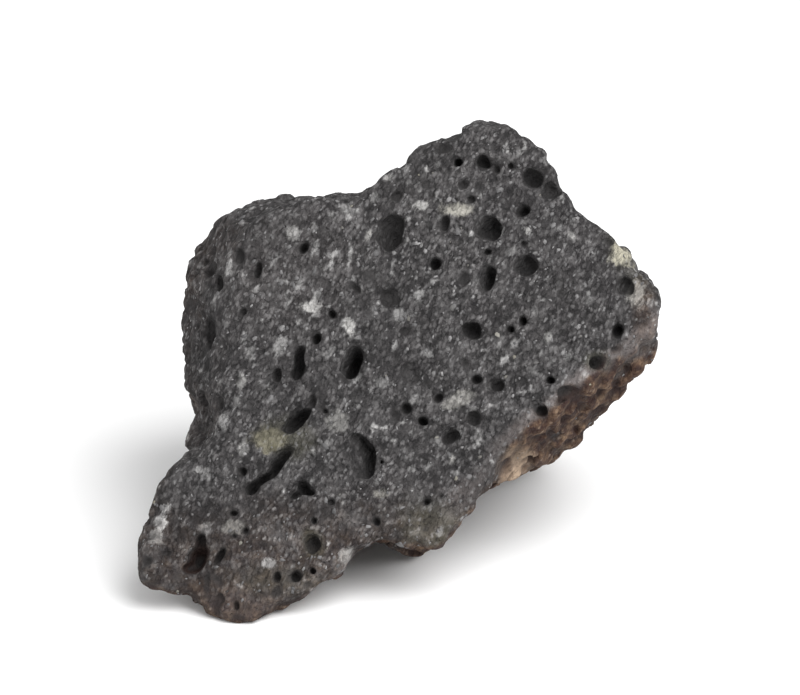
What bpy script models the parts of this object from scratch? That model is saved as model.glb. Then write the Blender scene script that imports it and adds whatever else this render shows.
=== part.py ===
"""A hand-sized lump of vesicular lava rock, in metres, +Z up.

It is one broken piece of basalt. A flat fracture face leans back at the front, a peak rises at its upper
right, a blunt toe reaches forward at its lower left, and the hollow underside stands on the toe, a small
heel and the broken foot of the back. Gas bubbles, cut open by the fractures, pit every side.

The origin is at the middle of the plan, on the ground. Sketch coordinates are millimetres: x to the
right, y back from the tip of the toe and z up. The rock is worked near the origin, then centred on it.
"""

import math
import random

import bpy
import bmesh
from mathutils import Euler, Matrix, Vector, noise
from mathutils.bvhtree import BVHTree

MM = 0.001
PLAN_CENTRE = Vector((0.6, 28.0, 0.0))  # where the rock is worked from, in sketch coordinates
CENTRING = Vector((0.0, -0.9, 0.0))  # the last move, which sets the middle of the plan on the origin
FACE_LEAN = math.radians(35.0)  # how far the front fracture face leans back from upright

# Broken lumps that make up the form: the corners of each, in sketch coordinates.
BODY = [
    (-19.5, 31.8, 45.5), (-5.4, 33.7, 48.1), (25.8, 32.4, 46.2), (32.3, 28.6, 40.8),
    (35.8, 23.6, 33.6), (31.8, 21.6, 30.8), (23.9, 17.7, 25.3), (14.2, 13.0, 18.6),
    (8.8, 8.6, 12.3), (-1.6, 6.4, 9.4), (-13.9, 4.2, 6.0), (-23.0, 14.0, 20.0),
    (-22.7, 22.5, 32.1), (-21.1, 29.8, 42.6),
    (-26.5, 42.0, 38.0), (-27.7, 38.0, 32.6), (-28.9, 33.0, 28.3), (-27.4, 27.0, 22.8),
    (33.4, 31.0, 22.7), (29.0, 29.0, 17.9), (23.9, 27.0, 16.6), (19.5, 24.0, 13.6), (13.2, 18.0, 14.2),
    (-19.0, 47.0, 40.5), (22.0, 48.0, 38.0), (34.0, 36.0, 31.0), (-27.0, 52.0, 24.0), (25.0, 54.0, 22.0),
    (19.5, 54.5, -1.0), (-16.0, 54.0, -1.0), (-26.0, 43.0, -0.6), (-4.0, 56.5, 20.0),
]
PEAK = [
    (-7.0, 33.0, 47.0), (2.5, 37.7, 53.8), (10.7, 39.8, 56.8), (15.8, 39.4, 56.3), (20.6, 38.4, 54.0),
    (24.3, 35.4, 50.4), (27.0, 32.4, 46.2), (12.0, 47.0, 51.0), (18.0, 46.0, 46.0), (0.0, 48.0, 44.0),
    (8.0, 53.0, 36.0), (10.0, 26.0, 36.0), (-12.0, 42.0, 36.0), (24.0, 44.0, 34.0),
]
TOE = [
    (-23.0, 15.0, 20.0), (-33.3, 12.0, 15.0), (-35.6, 8.5, 8.8), (-36.0, 6.5, 4.0), (-31.0, 5.0, 3.0),
    (-26.5, 2.0, -0.4), (-21.0, 0.0, -0.4), (-17.0, 2.5, -0.4), (-14.8, 4.6, 3.2), (-9.0, 6.2, 7.0),
    (-1.6, 7.8, 10.0), (-24.0, 14.0, -0.6), (-15.0, 14.0, -0.6), (-5.0, 22.0, 16.0), (-25.0, 28.0, 18.0),
]
HEEL = [
    (0.2, 18.5, 1.5), (5.6, 19.0, -0.8), (2.0, 22.0, -0.8), (7.0, 17.0, 8.0), (-3.0, 16.0, 9.0),
    (9.0, 25.0, 10.0), (-1.0, 28.0, 9.0),
]
# Chips knocked out of it: corners of each convex chip.
CHIPS = [
    [(-30.0, 30.0, 50.6), (6.0, 30.0, 63.0), (-30.0, 60.0, 46.0), (1.0, 60.0, 56.0), (-30.0, 30.0, 60.0),
     (-11.0, 31.0, 48.4), (-13.0, 60.0, 41.0), (-30.0, 60.0, 60.0)],
    [(-34.0, 47.0, 30.0), (-14.0, 60.0, 34.0), (-36.0, 50.0, 8.0), (-20.0, 64.0, 12.0), (-23.0, 50.5, 27.0),
     (-22.5, 52.0, 14.0), (-40.0, 60.0, 20.0)],
    [(2.0, 60.0, 30.0), (26.0, 60.0, 33.0), (0.0, 60.0, 20.0), (30.0, 60.0, 17.0), (8.0, 52.0, 27.0),
     (22.0, 50.5, 26.0)],
    [(36.0, 40.0, 44.0), (30.0, 62.0, 40.0), (24.0, 47.0, 38.0), (29.0, 44.0, 14.0), (24.0, 56.0, 12.0),
     (44.0, 50.0, 20.0), (26.0, 60.0, 14.0)],
]

# Gas bubbles laid open on the front face: millimetres to the right, millimetres up the slope of the face,
# width, height, tilt clockwise in degrees and depth.
FACE_BUBBLES = [
    (-5.7, 35.4, 2.4, 5.2, 15, 3.4), (-0.9, 52.9, 2.9, 4.9, 30, 1.5), (12.6, 53.3, 2.9, 3.7, 5, 1.4),
    (17.6, 48.5, 3.1, 3.2, 0, 1.5), (12.3, 46.6, 2.0, 3.0, 15, 2.4), (-4.4, 23.6, 2.8, 6.2, -8, 1.6),
    (-12.9, 28.1, 2.6, 4.9, 42, 2.1), (-14.5, 23.3, 1.9, 4.3, 44, 1.9), (-17.7, 20.1, 1.9, 3.4, 44, 1.8),
    (-12.3, 18.5, 3.0, 1.9, 10, 1.5), (-26.5, 9.9, 3.2, 4.2, 20, 2.2), (-0.3, 44.3, 2.5, 2.8, 20, 1.1),
    (10.4, 40.2, 2.1, 2.3, 0, 1.7), (-12.9, 35.4, 1.9, 5.0, 10, 1.0), (2.2, 34.4, 2.3, 2.8, 20, 1.3),
    (11.7, 62.5, 1.9, 2.0, 0, 1.8), (18.3, 60.3, 2.5, 2.4, 0, 1.5), (20.6, 58.7, 2.3, 2.4, 0, 1.4),
    (13.0, 32.8, 2.2, 1.7, 0, 1.4), (7.4, 26.0, 2.6, 1.6, -25, 1.3), (-24.9, 40.6, 2.2, 4.4, -5, 1.8),
    (-23.6, 47.2, 1.8, 3.4, -10, 1.4), (30.3, 45.6, 1.8, 2.9, -15, 1.5), (-11.0, 11.8, 2.3, 3.2, 0, 1.2),
    (18.9, 30.0, 2.4, 1.9, 0, 1.4), (24.6, 30.6, 2.6, 2.0, 0, 1.5),
]

# Gas bubbles all through the rock. The fractures lay open the ones they meet.
BUBBLE_SEED = 20
BUBBLE_COUNT = 2000
BUBBLE_SMALLEST = 1.25
BUBBLE_LARGEST = 4.2
FLOW_TILT = Euler((0.5, 0.35, 0.4))  # the bubbles are drawn out along the flow of the lava

GRID = 1.5  # spacing of the mesh the broken surface is worked on
BUDGET = 3900  # triangles kept for the rock before it is pitted


def at(x, y, z):
    """A point of the sketch, in metres from the origin."""
    return (Vector((x, y, z)) - PLAN_CENTRE) * MM


def add_object(name, mesh_data, material=None):
    obj = bpy.data.objects.new(name, mesh_data)
    bpy.context.scene.collection.objects.link(obj)
    if material:
        obj.data.materials.append(material)
    return obj


def helper(obj):
    obj.hide_render = True
    obj.display_type = "WIRE"
    return obj


def lump(name, corners):
    """A convex broken lump: the hull of its corners."""
    bm = bmesh.new()
    for corner in corners:
        bm.verts.new(at(*corner))
    hull = bmesh.ops.convex_hull(bm, input=bm.verts)
    bmesh.ops.delete(bm, geom=list(set(hull["geom_interior"])), context="VERTS")
    mesh = bpy.data.meshes.new(name)
    bm.to_mesh(mesh)
    bm.free()
    return add_object(name, mesh)


def boolean(obj, other, operation):
    cut = obj.modifiers.new(operation.title() + "_" + other.name, "BOOLEAN")
    cut.operation = operation
    cut.solver = "EXACT"
    cut.object = other
    return cut


def settle(obj):
    """Work the modifiers into the mesh."""
    graph = bpy.context.evaluated_depsgraph_get()
    graph.update()
    worked = bpy.data.meshes.new_from_object(obj.evaluated_get(graph))
    obj.modifiers.clear()
    obj.data = worked


def stone():
    """Dark grey basalt."""
    material = bpy.data.materials.new("basalt")
    material.use_nodes = True
    shader = material.node_tree.nodes["Principled BSDF"]
    shader.inputs["Base Color"].default_value = (0.09, 0.085, 0.085, 1.0)
    shader.inputs["Roughness"].default_value = 0.9
    return material


for old in list(bpy.data.objects):
    bpy.data.objects.remove(old)

rock = lump("lava_rock", BODY)
for name, corners in (("peak", PEAK), ("toe", TOE), ("heel", HEEL)):
    boolean(rock, helper(lump(name, corners)), "UNION")
for number, corners in enumerate(CHIPS):
    boolean(rock, helper(lump("chip_%d" % number, corners)), "DIFFERENCE")
remesh = rock.modifiers.new("Grid", "REMESH")
remesh.mode = "VOXEL"
remesh.voxel_size = GRID * MM
settle(rock)

# Uneven fracture: broad swells, hackly steps and crumbs, gentler on the clean front face.
HEART = at(0.0, 32.0, 24.0)
swells = Vector((3.1, 7.7, 1.9))
for vertex, normal in [(v, v.normal.copy()) for v in rock.data.vertices]:
    p = vertex.co / MM
    clean = max(0.0, -normal.y * math.cos(FACE_LEAN) + normal.z * math.sin(FACE_LEAN))
    rough = 1.0 - 0.75 * clean ** 4
    swell = 1.6 * noise.noise(p / 19.0 + swells)
    step = 2.5 * noise.turbulence(p / 10.0, 2, True) - 1.1
    crumb = 1.3 * noise.noise(p / 4.6 + swells)
    outward = (normal + 0.8 * (vertex.co - HEART).normalized()).normalized()
    vertex.co += outward * (swell * 0.8 + (step + crumb) * rough) * MM

remesh = rock.modifiers.new("Grid", "REMESH")
remesh.mode = "VOXEL"
remesh.voxel_size = 0.8 * GRID * MM
settle(rock)
thin = rock.modifiers.new("Budget", "DECIMATE")
thin.ratio = BUDGET / (2.0 * len(rock.data.polygons))
boolean(rock, helper(lump("ground", [(x, y, z) for x in (-80, 80) for y in (-80, 120) for z in (-40, 0)])),
        "DIFFERENCE")
settle(rock)

# The bubbles, as one cutting body.
skin = bmesh.new()
skin.from_mesh(rock.data)
surface = BVHTree.FromBMesh(skin)
skin.free()
right = Vector((1.0, 0.0, 0.0))
up_face = Vector((0.0, math.sin(FACE_LEAN), math.cos(FACE_LEAN)))
out_face = Vector((0.0, -math.cos(FACE_LEAN), math.sin(FACE_LEAN)))

froth = bmesh.new()


def bubble(centre, axes, radii):
    """Add an ellipsoid to the froth: its centre in metres, three axes and their radii in millimetres."""
    turn = Matrix(axes).transposed().to_4x4()
    size = Matrix.Diagonal((radii[0] * MM, radii[1] * MM, radii[2] * MM, 1.0))
    place = Matrix.Translation(centre) @ turn @ size
    if radii[0] > 1.7:
        bmesh.ops.create_icosphere(froth, subdivisions=2, radius=1.0, matrix=place)
        return
    shell = [(i, j, k) for i in (-1, 0, 1) for j in (-1, 0, 1) for k in (-1, 0, 1)]
    shell = [Vector(p).normalized() for p in shell if abs(p[0]) + abs(p[1]) + abs(p[2]) in (1, 2)]
    ball = bmesh.new()
    for p in shell:
        ball.verts.new(place @ p)
    bmesh.ops.convex_hull(ball, input=ball.verts)
    grains = bpy.data.meshes.new("bubble")
    ball.to_mesh(grains)
    ball.free()
    froth.from_mesh(grains)


opened = []
for across, up, width, height, tilt, depth in FACE_BUBBLES:
    start = at(across, 0.0, 0.0) + (up_face * up + out_face * 40.0) * MM
    hit = surface.ray_cast(start, -out_face)[0]
    turn = math.radians(tilt)
    long_axis = up_face * math.cos(turn) + right * math.sin(turn)
    bubble(hit - out_face * 0.1 * depth * MM, (long_axis.cross(out_face), long_axis, out_face),
           (width / 2, height / 2, depth))
    opened.append((hit / MM + PLAN_CENTRE, max(width / 2, height / 2, depth)))

rng = random.Random(BUBBLE_SEED)
flow = FLOW_TILT.to_matrix()
for number in range(BUBBLE_COUNT):
    spot = Vector((rng.uniform(-40.0, 40.0), rng.uniform(-3.0, 62.0), rng.uniform(-3.0, 62.0)))
    radius = min(BUBBLE_LARGEST, BUBBLE_SMALLEST + rng.expovariate(1.6))
    drawn = rng.uniform(1.0, 1.6)
    turn = flow @ Euler((rng.uniform(-0.5, 0.5), rng.uniform(-0.5, 0.5), 0.0)).to_matrix()
    if spot.z < radius * drawn + 0.6:
        continue
    centre = at(*spot)
    near, normal, face, distance = surface.find_nearest(centre)
    height = distance / MM if (centre - near).dot(normal) > 0.0 else -distance / MM
    if normal.dot(out_face) > 0.1 or not -0.6 * radius < height < 0.5 * radius:
        continue
    if any((spot - other).length < reach + radius * drawn + 0.3 for other, reach in opened):
        continue
    opened.append((spot, radius * drawn))
    bubble(centre, tuple(turn.transposed()), (radius, radius * 0.9, radius * drawn))

bmesh.ops.recalc_face_normals(froth, faces=froth.faces)
froth_mesh = bpy.data.meshes.new("froth")
froth.to_mesh(froth_mesh)
froth.free()
froth_mesh.transform(Matrix.Translation(CENTRING * MM))
rock.data.transform(Matrix.Translation(CENTRING * MM))
boolean(rock, helper(add_object("froth", froth_mesh)), "DIFFERENCE")
rock.data.materials.append(stone())
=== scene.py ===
# %% [markdown]
# # A lump of lava rock
# The rock is one broken piece of basalt. Lava froths while it is liquid, so the cooled stone is full of gas
# bubbles, and wherever the piece broke, the break opens the bubbles that it meets. The plain solid that
# carries the sizes has the lumps, the ledges and the larger bubbles. Here it gets a real skin: a crumbly
# broken surface, hundreds of smaller bubbles, and the pale crystals that are set in the grey stone.

# %% Load the solid that everything is fitted to
import math
import random
import time

import bpy
import bmesh
import numpy as np
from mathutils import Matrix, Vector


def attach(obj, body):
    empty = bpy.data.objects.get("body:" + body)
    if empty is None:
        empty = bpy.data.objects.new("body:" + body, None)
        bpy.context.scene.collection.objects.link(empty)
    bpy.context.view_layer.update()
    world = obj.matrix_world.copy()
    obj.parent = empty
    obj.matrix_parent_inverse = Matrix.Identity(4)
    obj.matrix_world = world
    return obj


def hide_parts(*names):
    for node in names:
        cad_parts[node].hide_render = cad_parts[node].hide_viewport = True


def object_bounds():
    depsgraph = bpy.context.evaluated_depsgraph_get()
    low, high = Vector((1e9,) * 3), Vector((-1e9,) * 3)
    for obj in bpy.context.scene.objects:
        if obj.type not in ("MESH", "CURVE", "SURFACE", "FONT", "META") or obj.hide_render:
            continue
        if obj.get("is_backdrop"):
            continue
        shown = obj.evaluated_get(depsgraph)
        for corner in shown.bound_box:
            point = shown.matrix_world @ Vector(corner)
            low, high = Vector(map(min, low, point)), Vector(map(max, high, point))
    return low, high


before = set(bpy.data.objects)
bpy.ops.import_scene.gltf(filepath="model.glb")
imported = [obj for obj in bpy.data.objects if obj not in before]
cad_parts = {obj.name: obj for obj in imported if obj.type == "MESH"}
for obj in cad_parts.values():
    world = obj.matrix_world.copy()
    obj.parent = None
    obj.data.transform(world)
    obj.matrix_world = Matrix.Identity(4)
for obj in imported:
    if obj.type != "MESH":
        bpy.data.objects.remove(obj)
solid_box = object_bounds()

import openvdb
from mathutils import Euler, Vector
from mathutils.kdtree import KDTree

MM = 0.001
started = time.time()
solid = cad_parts["lava_rock"]


def clock():
    """The time since the start."""
    return "%.1f s" % (time.time() - started)


print("solid:", len(solid.data.vertices), "corners")

# %% Directions on the rock
# The clean break on the front leans back from the tip of the toe. Spots on it are given in millimetres to
# the right of the tip and up the slope.
FACE_LEAN = math.radians(35.0)
TOE_TIP = np.array([-0.6, -28.9, 0.0])
right = np.array([1.0, 0.0, 0.0])
up_face = np.array([0.0, math.sin(FACE_LEAN), math.cos(FACE_LEAN)])
out_face = np.array([0.0, -math.cos(FACE_LEAN), math.sin(FACE_LEAN)])


def unit(vector):
    """The same direction, one long."""
    return vector / np.linalg.norm(vector)


def on_face(across, up, out=0.0):
    """The point across and up the clean face, and out from it, in millimetres."""
    return TOE_TIP + across * right + up * up_face + out * out_face


def tilted(degrees):
    """The direction up the face, turned clockwise."""
    lean = math.radians(degrees)
    return up_face * math.cos(lean) + right * math.sin(lean)


print("upper end of the face:", on_face(8.0, 68.0).round(1))

# %% [markdown]
# ## A block of numbers to carve
# Broken stone is hard to make by pushing the corners of a mesh about, because overhangs and bubbles fold it
# over itself. A distance field is easier. Space is filled with a regular block of numbers, each of which
# says how far that spot is from the surface, in millimetres: less than zero inside the stone and more than
# zero outside it. Adding a number to the field moves the surface in or out, and taking the larger of two
# fields carves one shape out of the other. The mesh is drawn once, at the end, where the field is zero.

# %% Turn the solid into a distance field
STEP = 0.3  # millimetres from one number of the block to the next
BAND = 4.5  # the distance is exact this far from the surface


def rows_of(items, name, kind=np.float32):
    """One property of all the corners or faces of a mesh, in rows of three numbers."""
    values = np.empty(len(items) * 3, kind)
    items.foreach_get(name, values)
    return values.reshape(-1, 3)


corners = rows_of(solid.data.vertices, "co") / MM
solid.data.calc_loop_triangles()
facets = rows_of(solid.data.loop_triangles, "vertices", np.int32)

steps = openvdb.createLinearTransform(voxelSize=STEP)
grid = openvdb.FloatGrid.createLevelSetFromPolygons(
    corners.astype(np.float64), triangles=facets.astype(np.uint32), transform=steps, halfWidth=BAND / STEP)
low = np.floor((corners.min(0) - BAND) / STEP).astype(int)
high = np.ceil((corners.max(0) + BAND) / STEP).astype(int)
shape = tuple(int(n) for n in high - low + 1)
stone = np.empty(shape, np.float32)
grid.copyToArray(stone, ijk=tuple(int(n) for n in low))
line = [((low[axis] + np.arange(shape[axis])) * STEP).astype(np.float32) for axis in range(3)]
place = np.ix_(*line)  # where the numbers are, along each axis, ready to spread through the block
print("block:", shape, "numbers,", clock())


# %% Helpers that work on the whole block
def blurred(field, spread):
    """The field with detail finer than spread, in millimetres, smoothed away."""
    reach = int(math.ceil(2.5 * spread / STEP))  # the weights have faded out there
    weights = np.exp(-0.5 * (np.arange(-reach, reach + 1) * STEP / spread) ** 2)
    weights = (weights / weights.sum()).astype(np.float32)
    for axis in range(3):
        margins = [(reach, reach) if axis == other else (0, 0) for other in range(3)]
        padded = np.pad(field, margins, mode="edge")
        field = np.zeros_like(field)
        for shift, weight in enumerate(weights):
            window = [slice(None)] * 3
            window[axis] = slice(shift, shift + shape[axis])
            field += weight * padded[tuple(window)]
    return field


def lumps(size, seed):
    """Smooth random values through the block, mostly from -1 to 1, in lumps about size millimetres wide."""
    counts = [int(n * STEP / size) + 5 for n in shape]
    field = np.random.default_rng(seed).standard_normal(counts).astype(np.float32)
    for axis in range(3):
        where = np.arange(shape[axis]) * STEP / size + 1.0
        first = where.astype(int)
        part = (where - first).astype(np.float32)[:, None, None]
        # The weights of a smooth curve, six times over.
        weights = ((1 - part) ** 3, 3 * part ** 3 - 6 * part ** 2 + 4,
                   -3 * part ** 3 + 3 * part ** 2 + 3 * part + 1, part ** 3)
        field = np.moveaxis(field, axis, 0)
        field = sum(weight / 6 * field[first + shift - 1] for shift, weight in enumerate(weights))
        field = np.moveaxis(field, 0, axis)
    return (field / (2.0 * field.std())).astype(np.float32)


def read(field, spots):
    """The field's values at spots, in millimetres, blended between the nearest numbers."""
    where = np.clip(spots / STEP - low, 0, np.array(shape) - 1.001)
    first = where.astype(int)
    part = (where - first).astype(np.float32)
    values = np.zeros(len(spots), np.float32)
    for corner in range(8):
        pick = np.array([corner & 1, corner >> 1 & 1, corner >> 2 & 1])
        weight = np.prod(np.where(pick, part, 1 - part), axis=1)
        i, j, k = (first + pick).T
        values += weight * field[i, j, k]
    return values


def read_one(field, spot):
    """The field's value at one spot."""
    return float(read(field, spot[None])[0])


def ramp(values, start, end):
    """0 up to start, 1 from end on, and a smooth rise between them."""
    t = np.clip((values - start) / (end - start), 0.0, 1.0)
    return t * t * (3 - 2 * t)


def beyond(point, normal):
    """How far every spot of the block lies in front of a plane."""
    normal = unit(np.asarray(normal))
    field = place[0] * np.float32(normal[0]) + place[1] * np.float32(normal[1])
    return field + place[2] * np.float32(normal[2]) - np.float32(np.dot(point, normal))


def from_rod(start, end, thick_start, thick_end):
    """How far every spot lies from a round rod that may taper."""
    run = end - start
    length = float(np.linalg.norm(run))
    share = np.clip(beyond(start, run) / length, 0.0, 1.0)
    field = -(thick_start + (thick_end - thick_start) * share)
    squares = 0.0
    for axis in range(3):
        squares = squares + (place[axis] - np.float32(start[axis]) - share * np.float32(run[axis])) ** 2
    return field + np.sqrt(squares)


# %% [markdown]
# ## The ledge
# Along the lower right the clean face stops at a sharp edge, and under it lies a strip of brown, frothy stone
# that looks down and to the front. The strip is cut with two planes: one is the strip itself, and the other
# ends it on the left. A rod of stone behind it keeps the rock's outline full where the strip bulges out, and
# three more planes trim its ends, so that it neither hangs down on the left nor juts out on the right.
# Each plane is given by a point and the way it faces, in millimetres.

# %% Cut the ledge
LEDGE_LEFT = on_face(14.3, 23.8, 0.4)
LEDGE_RIGHT = on_face(34.5, 39.4, 0.4)
STRIP_DOWN = np.array([0.614, 1.362, -1.541])  # the way the strip runs back under the edge
BULGE_START = LEDGE_LEFT + np.array([7.8, 9.7, -1.4])
BULGE_END = LEDGE_LEFT + np.array([17.6, 13.0, 6.4])

strip_normal = unit(np.cross(STRIP_DOWN, LEDGE_RIGHT - LEDGE_LEFT))
past_edge = beyond(LEDGE_LEFT, strip_normal)
right_of_end = beyond(LEDGE_LEFT, (0.96, -0.2, -0.2))
stone = np.minimum(stone, from_rod(BULGE_START, BULGE_END, 3.0, 2.6))
stone = np.maximum(stone, np.minimum(past_edge, right_of_end))
under_left = beyond(on_face(12.9, 19.5), (0.297, -0.418, -0.859))
under_left = np.minimum(under_left, beyond(on_face(11.3, 18.8), (0.80, -0.26, -0.54)))
past_right = beyond(on_face(33.0, 35.2), (0.80, -0.263, -0.539))
stone = np.maximum(stone, np.maximum(under_left, past_right))
on_strip = (1.0 - ramp(np.abs(past_edge), 1.5, 3.2)) * ramp(right_of_end, -1.0, 0.6)
print("the strip faces:", strip_normal.round(2))

# %% Fill out the edges
# Across, up and out from the face and the thickness at both ends, in millimetres. The rods run just under
# the skin, so that the clean face goes on to its broken edge at the toe, above the foot and on the right.
# Two flat cuts take a sliver off the upper left shoulder.
EDGE_RODS = [
    ((-32.1, 10.5, -2.0), (-32.3, 7.0, -2.0), 2.0, 1.9),
    ((-32.3, 7.1, -2.0), (-28.0, 6.9, -2.8), 1.9, 2.1),
    ((-0.5, 13.4, -1.7), (4.9, 12.8, -1.7), 1.6, 1.9),
    ((4.9, 12.8, -1.7), (10.9, 20.1, -1.7), 1.9, 2.0),
    ((2.5, 15.2, -2.6), (8.5, 18.8, -2.6), 2.6, 2.6),
    ((25.5, 50.5, -3.0), (29.3, 49.5, -3.0), 2.2, 2.2),
]
for start, end, thick_start, thick_end in EDGE_RODS:
    stone = np.minimum(stone, from_rod(on_face(*start), on_face(*end), thick_start, thick_end))
over_shoulder = beyond((-18.6, -4.2, 50.7), (-0.305, 0.417, 0.856))
past_shoulder = beyond((-13.0, -4.2, 52.4), (-0.60, 0.35, 0.72))
stone = np.maximum(stone, np.minimum(over_shoulder, past_shoulder))
print("rods under the edges:", len(EDGE_RODS))

# %% [markdown]
# ## The broken skin
# The front of the piece is one clean break, and it feels like coarse sandpaper. The back, the underside and
# the edges broke through frothy stone and are much rougher: crumbs and ledges a few millimetres across. So
# the height of the bumps depends on which way the stone faces. The bumps themselves are the size of a
# random value with its sign dropped, which gives rounded crumbs with sharp creases between them.

# %% Find the clean face and the rough sides
FACET_BLUR = 0.5  # millimetres; it rounds the corners of the plain solid
BROAD_BLUR = 1.8
CLEAN_FACING = (0.45, 0.85)  # from rough to clean, as the stone turns to the front
BEHIND_FACE = (2.0, 8.0)  # millimetres; the sides get rougher from the first to the second
FLOOR_FADE = (2.0, 6.0)  # millimetres above the floor
STRIP_DEPTH = -0.8  # millimetres; the strip's own crumbs end here

stone = blurred(stone, FACET_BLUR)
broad = blurred(stone, BROAD_BLUR)
slope = [np.gradient(broad, STEP, axis=axis).astype(np.float32) for axis in range(3)]
steepness = np.sqrt(slope[0] ** 2 + slope[1] ** 2 + slope[2] ** 2) + 1e-6
facing_front = (slope[0] * out_face[0] + slope[1] * out_face[1] + slope[2] * out_face[2]) / steepness
facing_down = -slope[2] / steepness
roughness = 1.0 - ramp(facing_front, *CLEAN_FACING)
roughness *= 0.45 + 0.55 * ramp(-beyond(on_face(0.0, 0.0), out_face), *BEHIND_FACE)
roughness = np.maximum(roughness, 0.7 * on_strip * (past_edge > STRIP_DEPTH))
near_floor = 1.0 - ramp(place[2], *FLOOR_FADE)
roughness = np.maximum(roughness, 0.75 * near_floor)
print("skin: %.0f %% of the block's numbers face the front," % (100 * (facing_front > 0.8).mean()), clock())

# %% Raise the crumbs
# Each term is a height in millimetres times lumps of one width, drawn from a seed.
crumbs = 0.52 * np.abs(lumps(2.9, 1)) + 0.45 * np.abs(lumps(1.4, 2)) - 0.45
sandpaper = 0.40 * np.abs(lumps(1.5, 3)) + 0.24 * lumps(0.8, 4) - 0.19
swells = 0.35 * lumps(7.0, 5)
relief = sandpaper + roughness * (crumbs + swells) + (1 - roughness) * 0.45 * swells
relief += on_strip * (past_edge > STRIP_DEPTH) * (0.42 * np.abs(lumps(1.2, 6)) - 0.2)
relief += roughness * (0.55 * np.abs(lumps(0.85, 8)) - 0.20)
skin = stone - relief
print("crumbs: from %.2f to %.2f mm" % (relief.min(), relief.max()))

# %% [markdown]
# ## Gas bubbles
# Each bubble is an ellipsoid, a little out of true because the lava was still moving. The larger ones on the
# clean face are listed one by one. The rest come from a seeded list through the whole rock, and from many
# fine pores near the skin. A bubble is carved by taking the larger of the stone's field and the bubble's
# field turned inside out. A second block remembers how near each spot is to a bubble's wall, so that the
# stone's finish can tell the smooth glassy walls from the broken skin.

# %% Carve one bubble
FAR = 9.0  # millimetres, where no bubble is near
DRIFT_ROOM = 0.9  # millimetres round a bubble, for a wall that is out of true

hollow = np.full(shape, FAR, np.float32)
drift = [0.38 * lumps(2.0, 11 + axis) + 0.30 * lumps(0.9, 14 + axis) for axis in range(3)]


def carve(centre, axes, radii, uneven=0.7):
    """Carve an ellipsoid: its centre, three unit axes, the radii along them and how far it is out of true."""
    reach = max(radii) + DRIFT_ROOM
    start = np.maximum(np.floor((centre - reach) / STEP).astype(int) - low, 0)
    stop = np.minimum(np.ceil((centre + reach) / STEP).astype(int) - low + 1, shape)
    if (stop <= start).any():
        return
    window = tuple(slice(int(a), int(b)) for a, b in zip(start, stop))
    amount = uneven * min(1.0, 0.85 * min(radii))  # small bubbles stay rounder
    spots = np.ix_(*(line[axis][window[axis]] for axis in range(3)))
    offset = [spots[axis] - centre[axis] + amount * drift[axis][window] for axis in range(3)]
    scaled = 0.0
    steep = 0.0
    for axis, radius in zip(axes, radii):
        along = (offset[0] * axis[0] + offset[1] * axis[1] + offset[2] * axis[2]) / radius
        scaled = scaled + along ** 2
        steep = steep + (along / radius) ** 2
    scaled = np.sqrt(scaled)
    wall = scaled * (scaled - 1.0) / np.sqrt(steep + 1e-9)
    skin[window] = np.maximum(skin[window], -wall)
    hollow[window] = np.minimum(hollow[window], wall)


print("bubbles lean by up to %.2f mm" % max(float(np.abs(part).max()) for part in drift))
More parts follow.
